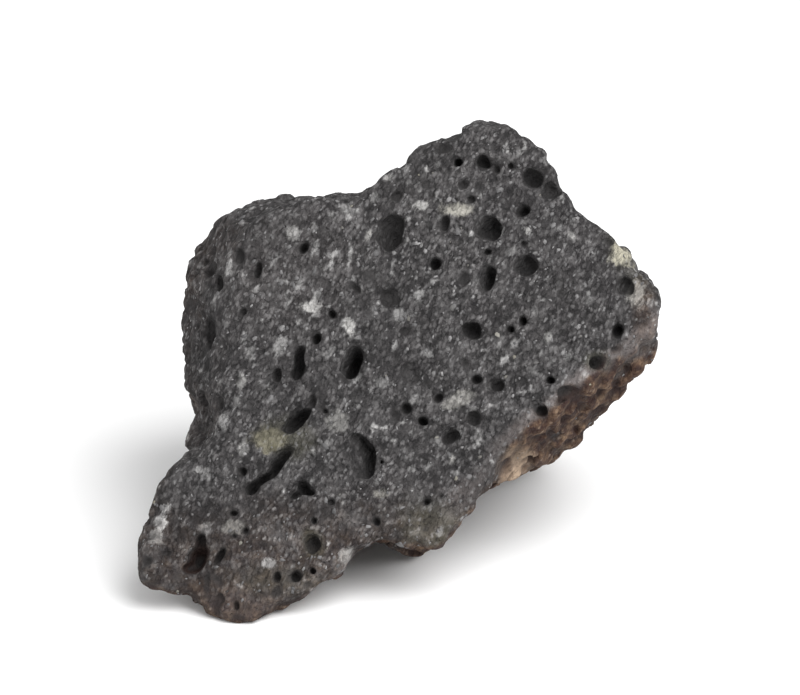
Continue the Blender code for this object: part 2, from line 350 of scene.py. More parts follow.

# %% Bubbles listed one by one on the clean face
# Millimetres to the right, millimetres up the slope of the face, width, height, tilt clockwise and depth.
FACE_BUBBLES = [
    (-5.7, 35.4, 2, 5, 15, 4.6), (-0.6, 53, 3.3, 5, 30, 1.9), (12.4, 53.3, 2.9, 3.5, 8, 2.6),
    (17.4, 48.5, 2.9, 3.1, 0, 2.6), (12.3, 46.6, 2, 3, 15, 2.6), (-4.3, 23.2, 2.7, 6.3, -14, 3.2),
    (-12.9, 27.9, 2.5, 4.6, 42, 2.7), (-11.1, 30.6, 0.9, 2.3, 10, 1.2), (-15.4, 22.3, 1.4, 5.4, 38, 3),
    (-17.7, 19.9, 1.2, 3.6, 50, 2.6), (-18.8, 18.8, 1.5, 2.1, 42, 2.6), (-12.1, 18.7, 1.8, 1.6, 10, 2.2),
    (-11.4, 18.3, 2, 1, 25, 2), (-13.1, 17.8, 1.8, 1, -30, 1.9), (-26.1, 9.9, 2.1, 3.5, 20, 3.5),
    (-25.7, 12, 1.3, 2, 15, 2.2), (-27, 8.8, 2.6, 1.5, -10, 2.4), (-0.4, 44.3, 2.5, 2.7, 20, 1.4),
    (10.3, 39.9, 2.1, 2.1, 0, 2.2), (-12.9, 35.4, 1.6, 4.6, 12, 2.6), (2.2, 34.3, 2.3, 2.8, 20, 1.2),
    (11.7, 62.5, 1.9, 2, 0, 2), (18.3, 60.3, 2.5, 2.4, 0, 1.8), (20.6, 58.7, 2.3, 2.4, 0, 1.7),
    (13, 32.8, 2.3, 1.7, 0, 1.6), (7.3, 26.1, 2.6, 1.6, -25, 1.6), (-24.9, 40.4, 2.1, 4.6, -5, 2),
    (-23.5, 46.8, 1.5, 2.8, -20, 1.6), (-24.9, 49, 1.1, 2.5, -35, 1.4), (30.3, 45.6, 1.8, 2.9, -15, 1.8),
    (-10.8, 11.6, 2.2, 3, 0, 1.6), (19.2, 29.5, 1.9, 1.5, 0, 1.9), (24.7, 30.2, 2.2, 1.5, 0, 1.6),
    (22.3, 28.4, 1.5, 1.1, 0, 1.5), (27, 32, 1.9, 1.3, 30, 1.6), (29.2, 33.4, 1.3, 1.5, 0, 1.5),
    (20.6, 26.6, 1.1, 1.3, 0, 1.4), (17.2, 22.4, 1.4, 1, -30, 1.4), (26, 29.4, 1, 0.9, 0, 1.4),
    (24, 27.7, 0.9, 1.1, 0, 1.3), (30.6, 35.6, 1.6, 1.1, 0, 1.5), (18.6, 24, 0.9, 0.8, 0, 1.2),
    (8.3, 62.5, 1.3, 1.4, 0, 1.8), (6.7, 54.2, 1.2, 2.4, 0, 1.3), (5.1, 48.8, 1.5, 1.5, 30, 1.8),
    (17, 55.8, 1.6, 1.9, 35, 2), (-12.3, 51, 1.1, 2, 35, 1.6), (29.3, 39.6, 1.4, 2.1, 0, 2),
    (20.6, 33.4, 1.5, 1.1, 20, 1.8), (10.8, 33.5, 1.3, 1.3, 0, 1.3), (1.4, 29.4, 1.6, 1.7, 30, 1.5),
    (3.6, 27.7, 1.5, 1.4, 0, 1.8), (5.6, 31, 1.2, 1.3, 30, 1.4), (10.2, 28.5, 1.8, 2.1, 35, 1.1),
    (15.4, 40, 1.2, 1.1, 0, 1.8), (17, 41.1, 0.9, 1.5, 0, 1.7), (-15.5, 33.9, 1.3, 2.3, 5, 1.5),
    (-18.1, 47.9, 0.9, 2.7, 10, 1.4), (-10.4, 38.6, 1.1, 1.7, 0, 1.6), (-8.3, 41.9, 1.1, 1.2, 0, 1.5),
    (-20.1, 21, 1.3, 1.1, 0, 1.5), (-21.2, 15.6, 1.5, 0.8, -10, 1.4), (-2.6, 14.4, 1.2, 1.2, 20, 1.6),
    (4.1, 17.1, 0.9, 1.1, 10, 1.3), (-23.2, 10, 0.8, 2.8, 35, 1.8), (-1.8, 22.3, 0.8, 0.7, 0, 1.2),
    (12.2, 50.3, 1.3, 0.8, -20, 1.4), (10, 57.5, 1.2, 1.2, 0, 1.1), (6.3, 64.5, 2.4, 1.6, 0, 0.8),
    (13.5, 61.7, 1, 1.1, 0, 1.2), (15.5, 62.1, 0.9, 1, 0, 1.1), (17, 51.6, 0.9, 0.9, 0, 1.1),
    (1.5, 39.6, 1.7, 1.3, 0, 0.5), (9.2, 46.8, 1.5, 1.9, 20, 0.5), (-10.9, 14.5, 1.1, 0.9, 0, 1.2),
    (-15.6, 7.1, 1.2, 1.5, 0, 1.2), (-13, 6.9, 1.4, 1.3, 0, 1.3), (-10.9, 7.8, 1, 1, 0, 1.2),
    (22, 45, 1.2, 1, 0, 0.7), (-19.7, 13.3, 1, 0.8, 0, 1.2), (-21.3, 12.6, 1.1, 0.6, 20, 1),
    (-8.3, 16.9, 1.1, 0.9, 0, 0.8), (-9.3, 29.1, 1, 0.7, 0, 1.2), (-20.9, 3.4, 0.8, 1.5, 0, 1),
    (-32.7, 9.3, 1.6, 0.9, 0, 0.9), (-30.1, 10.5, 1.4, 0.7, -15, 0.8), (-20.7, 50.6, 0.9, 1.3, 0, 1.1),
    (-20.1, 42.4, 1.1, 0.9, -30, 1.2), (0.2, 57.9, 1.9, 1.2, -40, 0.9), (-5.2, 45.4, 0.9, 2.3, -40, 0.7),
    (26.7, 35.5, 2.7, 1.8, -10, 0.8), (21.8, 30.6, 1, 0.8, 0, 1.3), (-24.9, 6.8, 0.6, 3.2, 5, 0.9),
    (9, 35.6, 0.9, 1.2, 20, 0.8),
]


def skin_height(field, across, up):
    """How far out from the face's own plane, in millimetres, the stone of that field reaches there."""
    out = np.arange(12.0, -24.0, -0.15)
    inside = read(field, on_face(across, up) + out[:, None] * out_face) < 0.0
    return out[int(np.argmax(inside))]


def slant_of(width, height, depth):
    """How far a bubble runs in under its right side for each millimetre of depth."""
    if min(width, height) < 1.7:
        return 0.15
    return 1.0 if width > 2.55 else min(0.5, 0.85 / depth)


for across, up, width, height, tilt, depth in FACE_BUBBLES:
    # The lava sheared the bubbles, so they slant, the wide ones most.
    slant = slant_of(width, height, depth)
    mouth = unit(out_face - slant * right)
    # A slanted bubble is cut aslant, so it is made narrower to open at its own width.
    leaning = slant ** 2 / (1 + slant ** 2)
    half_width = width / 2 * math.sqrt((1 - leaning) / max(0.2, 1 - leaning * (width / 2 / depth) ** 2))
    short_axis = unit(np.cross(tilted(tilt), mouth))
    long_axis = np.cross(mouth, short_axis)
    rim = [side * step for step in (0.75 * width * short_axis, 0.7 * height * long_axis) for side in (1, -1)]
    around = [skin_height(stone, across + float(step @ right), up + float(step @ up_face)) for step in rim]
    centre = on_face(across, up, float(np.median(around)) - 0.15 * depth)
    carve(centre, (short_axis, long_axis, mouth), (half_width, height / 2, depth), 1.0)
print("face bubbles:", len(FACE_BUBBLES))

# %% Bubbles all through the rock
BUBBLE_SEED = 20
BUBBLE_COUNT = 2000
BUBBLE_SMALLEST = 1.25
BUBBLE_LARGEST = 4.2
BUBBLE_FALL = 1.6  # how fast the larger ones get rarer
FLOW_TILT = Euler((0.5, 0.35, 0.4))  # the bubbles are drawn out along the flow of the lava

rng = random.Random(BUBBLE_SEED)
flow = FLOW_TILT.to_matrix()
opened = 0
for _ in range(BUBBLE_COUNT):
    spot = np.array((rng.uniform(-40.0, 40.0), rng.uniform(-3.0, 62.0), rng.uniform(-3.0, 62.0)))
    radius = min(BUBBLE_LARGEST, BUBBLE_SMALLEST + rng.expovariate(BUBBLE_FALL))
    drawn = rng.uniform(1.0, 1.6)
    turn = np.array(flow @ Euler((rng.uniform(-0.5, 0.5), rng.uniform(-0.5, 0.5), 0.0)).to_matrix())
    if spot[2] < radius * drawn + 0.6:  # none that would open the underside
        continue
    centre = spot + TOE_TIP
    height = read_one(broad, centre)
    front = read_one(facing_front, centre)
    ahead = float(np.dot(centre - on_face(0.0, 0.0), out_face))
    if front > 0.1 or ahead > -radius * drawn - 1.5 or not -0.6 * radius < height < 0.9 * radius:
        continue
    to_strip = read_one(past_edge, centre)
    if to_strip > -radius * drawn - 1.0 and read_one(right_of_end, centre) > -2.0:
        continue  # nor one that would eat into the strip
    carve(centre, turn.T, (radius, radius * 0.9, radius * drawn))
    opened += 1
print("bubbles opened on the other sides:", opened)

# %% Fine pores near the skin
PORE_TRIES = 2600
PORE_SEED = 7
PORE_SMALLEST = 0.32
PORE_GROWS = 0.8  # at most this much larger

near_skin = np.argwhere(np.abs(stone) < 0.5 * STEP)
picker = np.random.default_rng(PORE_SEED)
pores = 0
for spot in near_skin[picker.choice(len(near_skin), PORE_TRIES, replace=False)]:
    centre = (spot + low) * STEP + picker.uniform(-0.15, 0.15, 3)
    wild = float(roughness[tuple(spot)])
    if picker.random() > 0.18 + 0.82 * wild:
        continue
    radius = PORE_SMALLEST + min(picker.exponential(0.10 + 0.22 * wild), PORE_GROWS)
    turn = np.array(Euler(picker.uniform(-3, 3, 3)).to_matrix())
    carve(centre, turn, (radius, radius * picker.uniform(0.7, 1.0), radius * picker.uniform(1.0, 1.8)))
    pores += 1
# Bubbles from both sides met in the thin right edge, so a short rod fills it again.
skin = np.minimum(skin, from_rod(on_face(25.8, 51.8, -2.7), on_face(27.6, 50.6, -2.7), 2.0, 2.0))
print("fine pores:", pores, "on about %.0f square mm," % (len(near_skin) * STEP ** 2), clock())

# %% Wear off splinters, and cut flat contact patches
SPLINTERS = ((0.6, 0.25), (0.95, 0.4))  # a blur, and how far stone may stand out from it, in millimetres

skin = blurred(skin, 0.2)
for spread, proud in SPLINTERS:
    skin = np.maximum(skin, blurred(skin, spread) - proud)
skin = np.maximum(skin, -place[2])
print("splinters worn off, contact patches cut flat")

# %% [markdown]
# ## From numbers to mesh
# The surface is drawn where the field is zero. Crumbs that the bubbles cut off float free, so only the
# largest connected piece is kept. The even net is then thinned: it keeps its small triangles where the
# surface bends and grows larger ones where it doesn't.

# %% Draw the mesh
drawn_grid = openvdb.FloatGrid(BAND)
drawn_grid.copyFromArray(skin, ijk=tuple(int(n) for n in low))
drawn_grid.transform = steps
points, quads = drawn_grid.convertToQuads(isovalue=0.0)
print("drawn:", len(points), "points,", len(quads), "quads,", clock())


def largest_piece(points, quads):
    """Keep the faces of the largest connected piece."""
    label = np.arange(len(points))
    edges = np.concatenate([quads[:, [0, 1]], quads[:, [1, 2]], quads[:, [2, 3]]])
    while True:
        least = np.minimum(label[edges[:, 0]], label[edges[:, 1]])
        fresh = label.copy()
        np.minimum.at(fresh, label[edges[:, 0]], least)
        np.minimum.at(fresh, label[edges[:, 1]], least)
        np.minimum.at(fresh, edges[:, 0], least)
        np.minimum.at(fresh, edges[:, 1], least)
        fresh = fresh[fresh]
        if (fresh == label).all():
            break
        label = fresh
    winner = np.bincount(label).argmax()
    kept = quads[label[quads[:, 0]] == winner]
    used, order = np.unique(kept, return_inverse=True)
    return points[used], order.reshape(-1, 4)


points, quads = largest_piece(np.asarray(points), np.asarray(quads).astype(np.int64))
print("largest piece:", len(points), "points,", clock())

# %% Make the rock and thin its net
MOST_TRIANGLES = 190000


def mesh_from(name, points, faces):
    """A mesh from rows of points, in millimetres, and rows of corner numbers."""
    made = bpy.data.meshes.new(name)
    made.vertices.add(len(points))
    made.vertices.foreach_set("co", (points * MM).astype(np.float32).ravel())
    made.loops.add(faces.size)
    made.loops.foreach_set("vertex_index", faces.astype(np.int32).ravel())
    made.polygons.add(len(faces))
    made.polygons.foreach_set("loop_start", np.arange(0, faces.size, faces.shape[1], dtype=np.int32))
    made.update()
    made.validate()
    return made


def add_object(name, data):
    """An object in the scene that shows data."""
    made = bpy.data.objects.new(name, data)
    bpy.context.scene.collection.objects.link(made)
    return made


rock = add_object("rock", mesh_from("rock", points, quads))
thin = rock.modifiers.new("thin", "DECIMATE")
thin.ratio = MOST_TRIANGLES / (2.0 * len(quads))
graph = bpy.context.evaluated_depsgraph_get()
rock.data = bpy.data.meshes.new_from_object(rock.evaluated_get(graph))
rock.modifiers.clear()
bm = bmesh.new()
bm.from_mesh(rock.data)
bmesh.ops.triangulate(bm, faces=bm.faces)
bmesh.ops.recalc_face_normals(bm, faces=bm.faces)
if bm.calc_volume(signed=True) < 0:
    bmesh.ops.reverse_faces(bm, faces=bm.faces)
bm.to_mesh(rock.data)
bm.free()
rock.data.shade_smooth()
print("rock:", len(rock.data.polygons), "triangles,", clock())

# %% [markdown]
# ## Masks for the finish
# The finish of the stone changes from place to place, and the blocks of numbers already know how. The masks
# are read from them at each corner of the mesh and kept as attributes: how near a bubble's wall it is, how
# far below the skin, which paints shade into the bubbles, how far down in a crease, which paints shade into
# the creases, and how rusty the stone is. Lava rusts where steam got at it, which here is the strip under the
# ledge, the frothy underside and the bottom of the toe. A few patches are pale, tan or olive, from dust and
# from minerals that weathered out, and the toe is more worn and stained. The pale mask also holds a painted
# highlight along the ledge's edge and painted light on the upper left of the face.

# %% Read the masks at the corners of the mesh
spots = rows_of(rock.data.vertices, "co") / MM

sunk = -read(stone, spots)
# The wall mask grows with the depth below the skin, so deeper walls take more of the dark wall colour: partly
# the walls' own dark glass, partly painted shade.
wall = (1.0 - ramp(read(hollow, spots), 0.06, 0.24)) * (0.55 + 0.45 * ramp(sunk, 0.15, 0.6))
# Painted shade in the depths of bubbles: a near-black colour that grows with the depth below the skin.
bubble_shade = ramp(sunk, 0.45, 1.9)
# Painted shade in the creases between the crumbs.
crease_shade = ramp(-read(relief, spots), -0.25, 0.30)
front = ramp(read(facing_front, spots), 0.2, 0.6)
patchy = read(0.6 * lumps(8.0, 21) + 0.4 * lumps(3.0, 22), spots)
fine_patchy = read(0.5 * lumps(3.0, 23) + 0.5 * lumps(1.4, 24), spots)
print("masks at", len(spots), "corners")


def patch(across, up, width, height, tilt=0, soft=0.5):
    """1 inside an oval on the clean face and 0 well outside it; its edge wanders."""
    step = spots - on_face(across, up)
    long_axis = tilted(tilt)
    short_axis = np.cross(long_axis, out_face)
    reach = np.sqrt((step @ short_axis / (width / 2)) ** 2 + (step @ long_axis / (height / 2)) ** 2)
    return (1.0 - ramp(reach + 0.35 * fine_patchy, 1.0 - soft, 1.0 + soft)) * front


# %% Painted shade in the face bubbles, the strip and the worn toe
# Painted shade inside the bubbles listed on the face, strongest in the deep and narrow ones.
for across, up, width, height, tilt, depth in FACE_BUBBLES:
    share = 0.4 if depth < 1.75 else (0.8 if width < 3.2 else 0.65)
    bubble_shade = np.maximum(bubble_shade, share * wall * patch(across, up, width * 1.5, height * 1.4, tilt))
# As seen from the front and 26 degrees above: millimetres to the right of the toe's tip and up from it.
seen_across = spots[:, 0] + 0.6
seen_up = 0.438 * spots[:, 1] + 0.899 * spots[:, 2] + 12.65
from_nub = np.sqrt(((seen_across - 2.9) / 3.0) ** 2 + ((seen_up - 9.2) / 2.1) ** 2)
nub = 1.0 - ramp(from_nub + 0.2 * patchy, 0.7, 1.2)
nub *= spots[:, 1] < 0.0
in_strip = read(on_strip, spots)
to_edge = read(past_edge, spots)
strip = in_strip * ramp(to_edge + 0.5 * fine_patchy, -1.1, -0.3)
strip_wall = wall * in_strip * ramp(to_edge, -2.6, -1.2)
under = ramp(read(facing_down, spots) + 0.45 * patchy, 0.15, 0.85)
toe_low = (1.0 - ramp(spots[:, 2] + 2.5 * patchy, 1.5, 6.5)) * (1.0 - ramp(spots[:, 0], -16.0, -8.0))
lower_part = 1.0 - ramp(seen_up + 3.0 * patchy, 8.0, 22.0)
worn = 1.0 - ramp(seen_up + 2.0 * patchy, 14.0, 25.0)
flank = ramp(-read(slope[0] / steepness, spots), 0.45, 0.95) * (0.12 + 0.18 * patchy)
print("strip: mean %.3f" % strip.mean())

# %% Rust, tan, olive and pale patches
rust = np.maximum.reduce([
    strip, 0.85 * strip_wall, 0.9 * under, 0.6 * toe_low, flank, wall * patch(-26.5, 9.6, 4.8, 6, 15),
    0.85 * nub, 0.45 * patch(-25, 5, 9, 5), 0.26 * lower_part,
    0.3 * patch(33, 41, 3, 12, 0), 0.4 * patch(-10.9, 7.8, 2, 2)])
rust = np.clip(rust, 0.0, 1.0)
tan = (1.0 - ramp(np.hypot(seen_across - 16.2, seen_up - 21.0) + 1.3 * fine_patchy, 0.6, 3.6)) * strip
olive = np.maximum.reduce([
    0.8 * patch(-10.8, 11.5, 2.6, 3.6), 0.5 * patch(5, 13, 9, 7, 30),
    0.45 * patch(-14.5, 25.4, 6.5, 5), 0.6 * patch(26.7, 35.5, 3.2, 2.4),
    0.35 * patch(-15, 6.5, 12, 4), 0.3 * patch(32, 50, 6, 10, -20)])
# A painted highlight along the ledge's edge, kept in the pale mask together with pale patches.
rim_highlight = ramp(to_edge + 0.5 * fine_patchy, -2.6, -1.6) * (1 - ramp(to_edge, -0.8, -0.3))
pale_and_highlight = np.maximum.reduce([
    rim_highlight * front * ramp(read(right_of_end, spots), -3, 0),
    # The wide faint patch on the upper left of the face is painted light; the others are pale patches.
    0.6 * patch(8.6, 17.5, 2.6, 13, 42, 0.6), 0.1 * patch(-17, 47.5, 20, 14, 0, 0.8),
    0.5 * patch(-19, 2.6, 13, 6, 0, 0.6)])


def keep_mask(mesh, name, values):
    """Store one number for each corner of the mesh."""
    mesh.attributes.new(name, "FLOAT", "POINT").data.foreach_set("value", values.astype(np.float32))


masks = dict(wall=wall, bubble_shade=bubble_shade, crease_shade=crease_shade, rust=rust, olive=olive, pale_and_highlight=pale_and_highlight, tan=tan, worn=worn)
for name, values in masks.items():
    keep_mask(rock.data, name, values)
    print("%s: mean %.2f" % (name, values.mean()))

# %% [markdown]
# ## Knots of crystals
# Here and there many crystals grew together in a knot, a millimetre or three across, and the break has
# crushed them to a chalky white or straw-yellow spot. The ones on the clean face are listed one by one, and
# smaller and greyer ones are scattered over the whole rock. They are kept as three more masks: where they
# are, how white and how yellow.

# %% Knots listed one by one
# Millimetres across and up the face, width, height, tilt clockwise, brightness and how yellow they are.
KNOTS = [
    (-6, 40.2, 1.1, 2.2, 0, 0.95, 0.1), (8.4, 56.1, 3.4, 1.6, 0, 0.6, 0.5),
    (-16.5, 25.2, 3.2, 2.9, 0, 0.34, 1), (-30.9, 14.6, 1.4, 1.5, 0, 1, 0), (-30.4, 16.3, 1, 1.5, 15, 1, 0),
    (30.1, 50.2, 2.8, 3.3, 0, 0.95, 0.75), (-11.3, 43.1, 2.2, 1.1, 0, 0.65, 0.1),
    (-7.6, 27.7, 2.7, 3, 0, 0.35, 0.2), (8, 30.4, 1.6, 4, 62, 0.4, 0.3), (-16.6, 8.9, 1.7, 1.1, 0, 0.8, 0),
    (-6.3, 9.9, 2, 1.6, 0, 0.6, 0.1), (-21.2, 13.8, 2.4, 1.7, 0, 0.35, 0.3),
    (-20, 24, 1.2, 1.3, 0, 0.4, 0.1), (17.6, 53.3, 1, 0.8, 0, 0.8, 0.1), (-25.9, 21.4, 0.7, 0.7, 0, 0.9, 0),
    (-13.5, 52.9, 1.6, 1.5, 0, 0.4, 0.1), (3.2, 44.6, 1.2, 1, 0, 0.5, 0), (-15.2, 38, 1.1, 2.2, 20, 0.4, 0),
    (-31.5, 12.6, 1.3, 1.6, 0, 0.45, 0.1), (24.9, 33.9, 0.6, 0.6, 0, 0.8, 0.1),
    (14.5, 36, 1.4, 1, -30, 0.5, 0), (4.6, 36.6, 1.3, 0.8, 0, 0.55, 0), (-1, 60.5, 1.4, 0.9, 20, 0.45, 0.1),
    (20.1, 38.9, 0.8, 1, 0, 0.5, 0.1), (7.4, 22.6, 1, 1.3, 0, 0.5, 0.2), (-1.9, 18, 1.7, 1.2, 0, 0.45, 0.4),
    (-22.7, 27.8, 1, 1.8, 0, 0.35, 0), (3.4, 56.6, 1.6, 1.1, -20, 0.45, 0.1),
    (-20.4, 32.9, 1.1, 1.8, 0, 0.35, 0.1), (23.3, 52.6, 0.9, 1.2, 0, 0.4, 0.1),
    (31.8, 44.8, 1.8, 2.8, 0, 0.5, 0.3), (0.5, 42, 1.1, 1.6, 0, 0.4, 0), (-8.2, 49.4, 0.5, 2.2, 20, 0.5, 0),
    (-6, 49.9, 0.45, 2.6, 5, 0.42, 0), (-22, 48.5, 0.6, 1.8, 10, 0.48, 0),
    (-3.6, 52.7, 0.7, 1.4, 15, 0.45, 0.2), (-0.4, 47.9, 0.5, 2.3, 5, 0.42, 0),
    (-0.2, 37.8, 1.2, 0.6, -35, 0.55, 0), (-12.7, 46.1, 0.7, 1.5, 30, 0.4, 0),
    (-10.6, 50.9, 0.5, 2, 25, 0.38, 0), (-22, 50.5, 0.5, 1.2, 0, 0.4, 0),
    (-1.7, 32.9, 1.5, 1.1, 0, 0.25, 0), (-18.6, 45, 0.5, 1.8, 30, 0.38, 0),
    (-16, 49.3, 0.5, 1.8, 30, 0.38, 0), (-19.9, 39, 0.5, 1.5, 25, 0.38, 0),
    (-14.2, 43.4, 0.5, 1.4, 35, 0.36, 0), (-24, 44.2, 0.5, 1.9, 10, 0.33, 0),
]

chalk, white, straw = (np.zeros(len(spots), np.float32) for _ in range(3))
for across, up, width, height, tilt, brightness, yellow in KNOTS:
    spot = patch(across, up, width * 1.1, height * 1.1, tilt, 0.6)
    stronger = spot * brightness > chalk * white
    chalk[stronger] = spot[stronger]
    white[stronger] = brightness
    straw[stronger] = yellow
print("knots placed by hand:", len(KNOTS))

# %% Smaller knots all over
KNOT_COUNT = 1700
KNOT_SEED = 41
DRAWN_OUT = 0.5 * right + 0.87 * up_face  # the way the lava flowed over the face

tree_of_spots = KDTree(len(spots))
for index, spot in enumerate(spots.tolist()):
    tree_of_spots.insert(spot, index)
tree_of_spots.balance()
picker = np.random.default_rng(KNOT_SEED)
for index in picker.choice(len(spots), KNOT_COUNT, replace=False):
    if rust[index] > 0.5 or wall[index] > 0.3:
        continue
    reach = 0.28 + picker.exponential(0.16)
    bright = 0.10 + 0.55 * picker.beta(1.2, 2.8)
    long_way = unit(DRAWN_OUT + 0.4 * picker.standard_normal(3))
    for where, near, distance in tree_of_spots.find_range(spots[index], 1.8 * reach):
        step = spots[near] - spots[index]
        along = abs(float(step @ long_way)) / (1.6 * reach)
        aside = math.sqrt(max(0.0, distance ** 2 - float(step @ long_way) ** 2)) / reach
        share = max(0.0, 1.0 - (along ** 2 + aside ** 2))
        if share * bright > chalk[near] * white[near]:
            chalk[near] = share
            white[near] = bright
for name, values in dict(chalk=chalk, white=white, straw=straw).items():
    keep_mask(rock.data, name, values)
print("chalk: mean %.3f," % chalk.mean(), clock())

# %% [markdown]
# ## Crystals
# The pale specks are crystals of feldspar that grew in the lava before it cooled: small slabs, up to a
# millimetre or so long. The broken surface cuts through them, so they lie flush with it and stand proud by
# a few hundredths of a millimetre. Each one is a tiny slab with uneven corners, and all of them are one
# mesh, because thousands of objects would be slow. Most are greyed by the stone that still covers them.

# %% Where single crystals lie
CRYSTAL_COUNT = 1500
CRYSTAL_SEED = 31
CRYSTAL_LARGEST = 0.5  # millimetres, half its length

triangles = rows_of(rock.data.polygons, "vertices", np.int32)
edge_a = spots[triangles[:, 1]] - spots[triangles[:, 0]]
edge_b = spots[triangles[:, 2]] - spots[triangles[:, 0]]
normals = np.cross(edge_a, edge_b)
double_area = np.linalg.norm(normals, axis=1)
normals /= double_area[:, None] + 1e-12
wanted = double_area * (wall[triangles].max(1) < 0.15) * (1.0 - 0.8 * rust[triangles].mean(1))
wanted *= spots[triangles].min(1)[:, 2] > 0.35
picker = np.random.default_rng(CRYSTAL_SEED)
chosen = picker.choice(len(triangles), CRYSTAL_COUNT, p=wanted / wanted.sum())
blend_a = picker.random((CRYSTAL_COUNT, 1))
blend_b = picker.random((CRYSTAL_COUNT, 1)) * (1 - blend_a)
seats = spots[triangles[chosen, 0]] + edge_a[chosen] * blend_a + edge_b[chosen] * blend_b
size = np.minimum(0.12 + picker.exponential(0.08, CRYSTAL_COUNT), CRYSTAL_LARGEST)
tone = picker.beta(0.9, 4.2, CRYSTAL_COUNT)
tint = np.where(picker.random(CRYSTAL_COUNT) < 0.06, picker.uniform(0.3, 0.8, CRYSTAL_COUNT), 0.0)
print("single crystals:", CRYSTAL_COUNT)

# %% Make the crystals
outward = np.stack([read(part, seats) for part in slope], 1)
outward /= np.linalg.norm(outward, axis=1, keepdims=True)
outward += 0.8 * normals[chosen]
outward /= np.linalg.norm(outward, axis=1, keepdims=True)
along = DRAWN_OUT + 0.55 * picker.standard_normal((CRYSTAL_COUNT, 3))
along -= outward * (along * outward).sum(1, keepdims=True)
along /= np.linalg.norm(along, axis=1, keepdims=True)
across_grain = np.cross(outward, along)

half_long = size * picker.uniform(0.9, 1.5, CRYSTAL_COUNT)
half_wide = size * picker.uniform(0.55, 0.95, CRYSTAL_COUNT)
proud = 0.02 + 0.08 * size
deep = 0.25 + 0.2 * size
five_corners = ((-1, -0.6), (0.2, -1), (1, -0.3), (0.7, 0.8), (-0.5, 1))
slab = np.array([(x, y, z) for z in (-1, 1) for x, y in five_corners])
crystal_points = np.empty((CRYSTAL_COUNT, len(slab), 3))
for corner, (x, y, z) in enumerate(slab):
    jitter = picker.uniform(0.65, 1.15, (CRYSTAL_COUNT, 1))
    height = np.where(z > 0, proud, -deep)[:, None] * (1.0 + 0.4 * picker.uniform(-1, 1, (CRYSTAL_COUNT, 1)))
    crystal_points[:, corner] = (seats + along * (x * half_long)[:, None] * jitter
                                 + across_grain * (y * half_wide)[:, None] * jitter + outward * height)
top = [(5, 6, 7), (5, 7, 8), (5, 8, 9)]
sides = [side for n in range(5) for side in ((n, (n + 1) % 5, (n + 1) % 5 + 5), (n, (n + 1) % 5 + 5, n + 5))]
pattern = np.array(top + sides)
crystal_faces = (pattern[None] + (np.arange(CRYSTAL_COUNT) * len(slab))[:, None, None]).reshape(-1, 3)
crystals = add_object("crystals", mesh_from("crystals", crystal_points.reshape(-1, 3), crystal_faces))
keep_mask(crystals.data, "tone", np.repeat(tone, len(slab)))
keep_mask(crystals.data, "tint", np.repeat(tint, len(slab)))
print("crystals:", CRYSTAL_COUNT, "with", len(crystals.data.polygons), "triangles")

# %% [markdown]
# ## Finishes
# Basalt is not one grey. Under a lens it is a felt of dark and light grains a fraction of a millimetre
# across, with rust and pale dust on top. The grain is wanted on more than one finish, so it is a node group
# with inputs of its own, and each material sets them.

# %% Helpers for nodes


def is_socket(value):
    """Whether value is a socket of a node, and not a number or a colour."""
    return isinstance(value, bpy.types.NodeSocket)


def feed(socket, value):
    """Link value to an input if it is a socket, and set it there if it is a number or a colour."""
    if is_socket(value):
        socket.id_data.links.new(value, socket)
    else:
        socket.default_value = value


def add_node(tree, kind, **settings):
    """A node with some of its settings and inputs set or linked, by name."""
    node = tree.nodes.new(kind)
    for name, value in settings.items():
        if hasattr(node, name):
            setattr(node, name, value)
        else:
            feed(node.inputs[name], value)
    return node


def math_node(operation, first, second):
    """Two values, of which one or both are sockets, put through one operation."""
    tree = first.id_data if is_socket(first) else second.id_data
    node = add_node(tree, "ShaderNodeMath", operation=operation)
    feed(node.inputs[0], first)
    feed(node.inputs[1], second)
    return node.outputs[0]


def times(first, second):
    """first times second."""
    return math_node("MULTIPLY", first, second)


def plus(first, second):
    """first plus second."""
    return math_node("ADD", first, second)


def minus(first, second):
    """first less second."""
    return math_node("SUBTRACT", first, second)


def rise(value, start, end):
    """0 up to start, 1 from end on, with a smooth rise."""
    node = add_node(value.id_data, "ShaderNodeMapRange", interpolation_type="SMOOTHSTEP", Value=value)
    node.inputs["From Min"].default_value = start
    node.inputs["From Max"].default_value = end
    return node.outputs["Result"]


def mix_colours(factor, first, second):
    """Two colours, which may be sockets, mixed by factor: 0 gives the first and 1 the second."""
    tree = factor.id_data if is_socket(factor) else first.id_data
    node = add_node(tree, "ShaderNodeMix", data_type="RGBA", clamp_factor=True)
    for index, value in ((0, factor), (6, first), (7, second)):  # the inputs that colours use
        feed(node.inputs[index], value)
    return node.outputs[2]


def coat(colour, *layers):
    """A colour with layers over it, each with its share, from 0 to 1, and its own colour."""
    for share, paint in layers:
        colour = mix_colours(share, colour, paint)
    return colour


def mask_of(tree, name):
    """A mask that was stored on the mesh."""
    return add_node(tree, "ShaderNodeAttribute", attribute_name=name).outputs["Fac"]


def new_finish(name):
    """A material, the tree of its nodes and its main shader."""
    finish = bpy.data.materials.new(name)
    finish.use_nodes = True
    return finish, finish.node_tree, finish.node_tree.nodes["Principled BSDF"]


# %% The grain of the stone, as a group
GRAIN_MM = 0.30
GRAIN_LENGTH = 1.6  # of its width

grain = bpy.data.node_groups.new("stone grain", "ShaderNodeTree")
grain.interface.new_socket("Place", in_out="INPUT", socket_type="NodeSocketVector")
for name in ("Pale share", "Dark share"):
    grain.interface.new_socket(name, in_out="INPUT", socket_type="NodeSocketFloat").default_value = 0.2
for name in ("Pale", "Dark", "Cloud", "Mosaic", "Height"):
    grain.interface.new_socket(name, in_out="OUTPUT", socket_type="NodeSocketFloat")
group_in = grain.nodes.new("NodeGroupInput")
group_out = grain.nodes.new("NodeGroupOutput")
print("grain group:", len(grain.interface.items_tree), "sockets")

